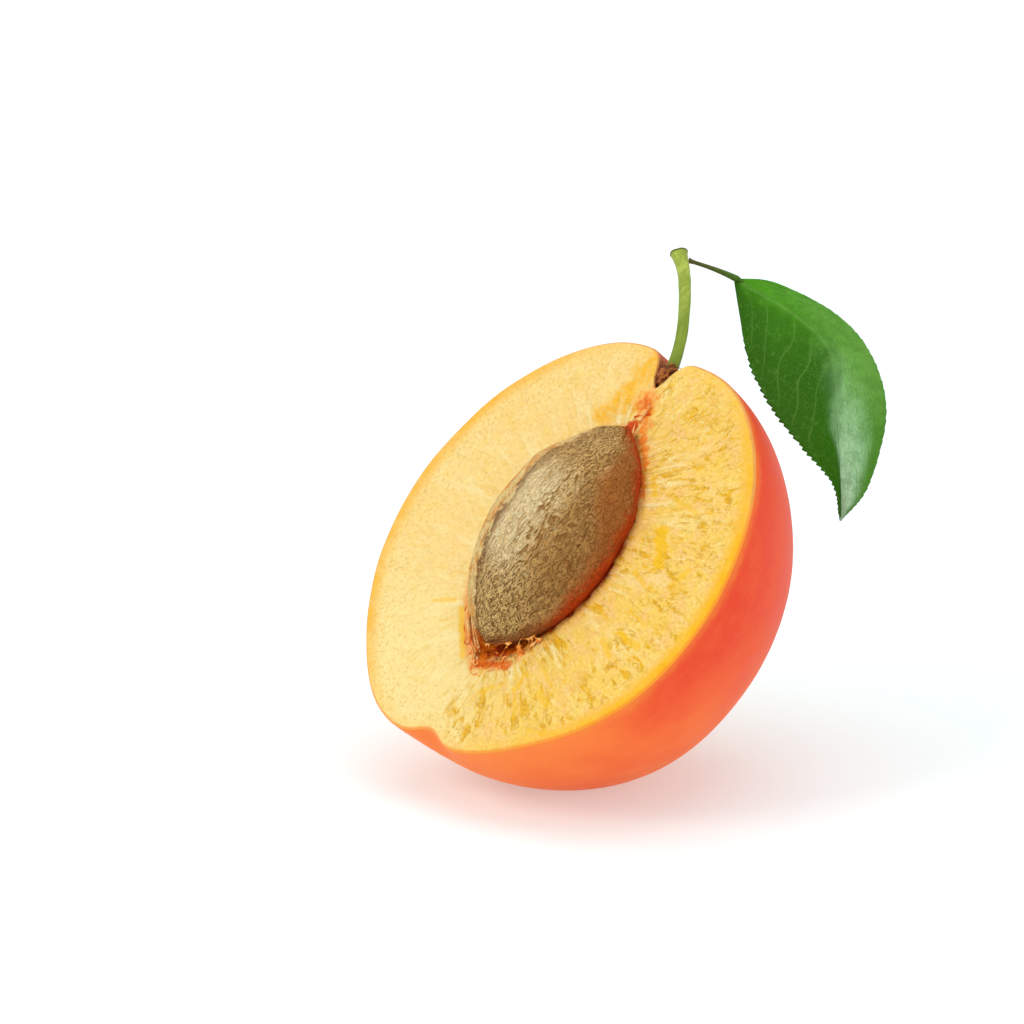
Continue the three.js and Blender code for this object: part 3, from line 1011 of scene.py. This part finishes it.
def curvePoint(points, share):  # a smooth curve through the points, 0 to 1
    spans = len(points) - 1
    at = min(share * spans, spans - 1e-6)
    i = int(at)
    t = at - i
    b, c = Vector(points[i]), Vector(points[i + 1])
    a = Vector(points[i - 1]) if i else b * 2 - c
    d = Vector(points[i + 2]) if i + 2 <= spans else c * 2 - b
    second, third = 2 * a - 5 * b + 4 * c - d, 3 * b - a - 3 * c + d
    return 0.5 * (2 * b + (c - a) * t + second * t * t + third * t**3)


def curveFrame(points, share, step=0.01):
    low, high = max(0, share - step), min(1, share + step)
    tangent = (curvePoint(points, high) - curvePoint(points, low)).normalized()
    across = Vector((0, 1, 0)).cross(tangent).normalized()
    return curvePoint(points, share), across, across.cross(tangent)


def bendStalk(bm, points, rings, radiusAt, toWorld):
    lengthLayer = bm.verts.layers.float.new("along")
    frames = {}
    for v in bm.verts:
        ring = round(v.co.y)
        share = min(1, max(0, (ring - 1) / (rings - 2)))
        if ring not in frames:
            frames[ring] = curveFrame(points, share)
        point, across, out = frames[ring]
        angle = atan2(v.co.x, v.co.z)
        radius = radiusAt(share, angle) if 0 < ring < rings else 0
        place = point + (across * cos(angle) + out * sin(angle)) * radius
        v[lengthLayer] = share
        v.co = (toWorld @ place) * mm


def stemRadius(share, angle):
    swell = (stem["rootRadius"] - stem["radius"]) * exp(-share / 0.12)
    top = stem["radius"] + stem["taper"]
    flare = (stem["endRadius"] - top) * exp((share - 1) / 0.06)
    ribs = 0.03 * sin(5 * angle + 1.5 * sin(share * 5)) + 0.014 * sin(9 * angle)
    knots = 0.04 * rumple(cos(angle), sin(angle), share * 9)
    return stem["radius"] + stem["taper"] * share**2 + swell + flare + ribs + knots


def stemFinish():
    n = Finish(
        "stemBark", stem["tones"],
        {"Specular IOR Level": 0.25, "Subsurface Weight": 0.05, "Subsurface Scale": 0.0005}
    )
    along = n.attribute("along")
    height, tint = n.grain(n.stretch(n.fruitPlace(), (1, 1, 0.2)), 4, 1.6)
    n.colour = n.mix(n.remap(along, 0.05, 0.9), "green", "top")
    n.coat("dark", n.remap(tint, 0.35, 0.6, 0, 0.5))
    n.coat("root", n.remap(along, 0.12, 0))
    n.coat("cut", n.remap(along, 0.975, 0.995))
    return n.done(n.spread(tint, 0.4, 0.6), n.bump(height, 0.05))


stemMesh = turnChain(stem["rings"] + 1, stem["segments"])
bendStalk(stemMesh, stem["route"], stem["rings"], stemRadius, poseMatrix)
toPiece(stemMesh, "stemStalk", [stemFinish()], "stem")


# The leaf and its stalk
leaf = {
    "base": (18.5, 18.6, 50.7),
    "tip": (29.7, -1.4, 29.5),
    "midrib": [(24.9, 13.1, 48.4), (28.7, 8, 45.6), (29.2, 2.9, 40.5), (29.6, -0.2, 34.9)],
    "leftEdge": [(19.8, 10.9, 44.7), (22.1, 5.4, 40.8), (25.6, 0.6, 37.3), (28.9, -1.1, 33.6)],
    "rightEdge": [(26.6, 16.6, 49.2), (32.3, 11.3, 45.8), (34.6, 3.8, 40.7), (32.7, -1.1, 33.6)],
    "width": 14,  # about, as is the length: the scale of the patterns on the blade
    "length": 31,
    "thickness": 0.28,
    "columns": 110,
    "rows": 330,
    "teeth": 38,
    "toothHeight": 0.42,
    "veins": 9,
    "veinLean": 0.2,  # how far along the blade a side vein runs on its way to the edge
    "crown": 0.3,  # how far each half of the blade bulges
    "shoulder": 0.6,  # how much fuller the right half is near the stalk
    # left holds painted shade, right painted light and tip a painted pale sheen
    "upperTones": {
        "left": (44, 98, 2), "right": (100, 158, 60), "fold": (72, 150, 6), "tip": (182, 224, 184),
        "vein": (118, 168, 76),
    },
    "underTones": {
        "left": (104, 146, 70), "right": (112, 152, 78), "fold": (110, 156, 70), "tip": (118, 156, 90),
        "vein": (160, 190, 120),
    },
}
stalk = {
    "route": [(13.5, 18.85, 52.85), (15.8, 18.9, 52.05), (17.6, 18.6, 51.4), (19.6, 18, 50.6)],
    "radius": 0.2,
    "leafRadius": 0.42,
    "rings": 60,
    "segments": 24,
    "tones": {"root": (92, 88, 40), "green": (66, 108, 24), "dark": (60, 74, 20)},
}


def leafPlace(u, v):  # on the midrib and on the edge beside it, v of the way to the tip
    edge = leaf["leftEdge" if u < 0 else "rightEdge"]
    return [curvePoint([leaf["base"], *line, leaf["tip"]], v) for line in (leaf["midrib"], edge)]


def veinAt(u, v):
    # 1 on a side vein, 0 between: veins leave the midrib forwards and curve towards the tip
    lean = leaf["veinLean"] * abs(u) ** 0.8 + 0.06 * abs(u) ** 3
    phase = (v - lean) * leaf["veins"] + (0.35 if u < 0 else 0) + 0.4 * rumple(u * 2.4, v * 8, 1)
    away = abs(phase - round(phase)) / leaf["veins"] * leaf["length"]
    return hill(away, 0.14) * ease(1, 0.75, abs(u)) * ease(0.02, 0.1, v)


def toothReach(u, v):
    saw = v * leaf["teeth"] + 0.5 * rumple(v * 25, 3, 0)
    height = leaf["toothHeight"] * (1 - saw % 1) * (0.75 + 0.5 * rumple(floor(saw) * 1.7, 8, 0))
    height *= ease(0.1, 0.25, v) * ease(1, 0.93, v) * ease(0.92, 1, abs(u))
    return height if u < 0 else 0.3 * height


def leafFacing(v):
    left, right = leafPlace(-1, v)[1], leafPlace(1, v)[1]
    ahead, behind = leafPlace(0, min(1, v + 0.02))[0], leafPlace(0, max(0, v - 0.02))[0]
    sideways = (right - left) if 0.01 < v < 0.99 else Vector((1, 0, 0))
    return (ahead - behind).cross(sideways).normalized()


def makeLeaf(finishes):
    bm = bmesh.new()
    bmesh.ops.create_grid(bm, x_segments=leaf["columns"], y_segments=leaf["rows"], size=1)
    layers = {name: bm.verts.layers.float.new(name) for name in ("vein", "across", "along")}
    facings = {}
    for vertex in bm.verts:
        u, v = vertex.co.x, (1 - vertex.co.y) / 2
        key = round(v, 5)
        if key not in facings:
            facings[key] = leafFacing(v)
        middle, edge = leafPlace(u, v)
        halfWidth = (edge - middle).length
        reach = abs(u) * (1 + toothReach(u, v) / max(halfWidth, 0.4))
        distance = abs(u) * halfWidth
        midrib = hill(distance, 0.2 * (1.2 - v))
        side = veinAt(u, v) * ease(0.2, 1.5, distance)
        body = min(1, halfWidth / 5)
        bulge = leaf["crown"] * sin(pi * min(1, abs(u)))
        ripple = 0.3 * rumple(u * 1.3, v * 5, 4)
        quilt = 0.07 * rumple(u * 8, v * 24, 2)
        lift = body * (bulge + ripple + quilt) - 0.07 * midrib - 0.06 * side
        vertex.co = middle.lerp(edge, reach) + facings[key] * lift
        vertex.co.z += leaf["shoulder"] * max(0, u) * hill(v - 0.08, 0.07)
        vertex[layers["vein"]] = max(midrib, side)
        vertex[layers["across"]] = u
        vertex[layers["along"]] = v
    bmesh.ops.remove_doubles(bm, verts=bm.verts, dist=0.0005)
    bmesh.ops.scale(bm, vec=(mm, mm, mm), verts=bm.verts)
    piece = toPiece(bm, "leafBlade", finishes, "leaf")
    addWall(piece, leaf["thickness"]).material_offset = 1


def leafFinish(name, tones, gloss):
    n = Finish(name, tones, {"Specular IOR Level": gloss})
    across, along = n.attribute("across"), n.attribute("along")
    flat = n.join(n.both(across, leaf["width"] / 2), n.both(along, leaf["length"]))
    height, tint = n.grain(n.millimetres(), 3, 1.2)
    cells = n.node("TexVoronoi", {"Vector": flat, "Scale": 1.9}, feature="DISTANCE_TO_EDGE")
    net = n.remap(cells.outputs["Distance"], 0.09, 0)
    broad = n.speckle(flat, 0.35, 3)
    swing = n.add(across, n.spread(broad, -0.15, 0.15))
    # Painted shade on one side and painted light on the other, and a painted pale sheen that runs beside
    # the midrib to the tip
    n.colour = n.mix(n.remap(swing, -0.25, 0.4), "left", "right")
    n.coat("fold", n.remap(along, 0.5, 0.05), n.remap(swing, -0.9, 0.5))
    soft = n.add(across, n.spread(broad, -0.06, 0.06))
    streaks = n.speckle(n.stretch(flat, (1.6, 0.09, 1)), 1, 3, 0.6)
    n.coat("vein", n.remap(streaks, 0.5, 0.68), n.remap(soft, 0, 0.3), 0.4)
    # painted shade along the right edge towards the tip
    n.coat("left", n.remap(soft, 0.3, 0.9), n.remap(along, 0.4, 0.75), 0.5)
    narrow = n.remap(n.less(soft, n.both(along, 0.9)), 0.25, -0.35)
    sheen = n.both(n.remap(soft, -0.35, 0.15), narrow, n.remap(along, 0.3, 0.98))
    n.coat("tip", sheen, n.remap(streaks, 0.3, 0.6, 0.8, 1))
    n.coat("left", n.remap(tint, 0.4, 0.65, 0, 0.3))
    n.coat("vein", net, 0.2)
    n.coat("vein", n.attribute("vein"), 0.4)
    return n.done(n.spread(tint, 0.34, 0.48), n.bump(height, 0.02, n.bump(n.less(1, net), 0.03)))


def stalkFinish():
    n = Finish("leafStalk", stalk["tones"], {"Specular IOR Level": 0.2})
    height, tint = n.grain(n.millimetres(), 4, 1.4)
    n.colour = n.mix(n.remap(n.attribute("along"), 0.1, 0.9), "root", "green")
    n.coat("dark", n.remap(tint, 0.4, 0.65, 0, 0.5))
    return n.done(n.spread(tint, 0.4, 0.6), n.bump(height, 0.04))


def stalkRadius(share, angle):
    thick = lerp(stalk["radius"], stalk["leafRadius"], share**1.5)
    return thick + 0.16 * exp(-share / 0.05) - 0.3 * ease(0.85, 1, share)


makeLeaf([
    leafFinish("leafGreen", leaf["upperTones"], 0.07),
    leafFinish("leafUnderside", leaf["underTones"], 0.2),
])
stalkMesh = turnChain(stalk["rings"] + 1, stalk["segments"])
bendStalk(stalkMesh, stalk["route"], stalk["rings"], stalkRadius, Matrix.Identity(4))
toPiece(stalkMesh, "leafStalk", [stalkFinish()])


# The surface that it stands on
ground = {
    "halfWidth": 6,  # metres
    "base": (0.66, 0.76, 0.77, 1),
    "glow": 0.34,
}


def addFloor():
    bm = bmesh.new()
    bmesh.ops.create_grid(bm, x_segments=1, y_segments=1, size=ground["halfWidth"])
    mesh = bpy.data.meshes.new("paleFloor")
    bm.to_mesh(mesh)
    bm.free()
    finish = Finish(
        "paleFloor", {}, {
            "Base Color": ground["base"], "Roughness": 0.9, "Specular IOR Level": 0,
            "Emission Color": (1, 1, 1, 1), "Emission Strength": ground["glow"],
        }
    )
    mesh.materials.append(finish.material)
    floor = bpy.data.objects.new("paleFloor", mesh)
    scene.collection.objects.link(floor)


addFloor()
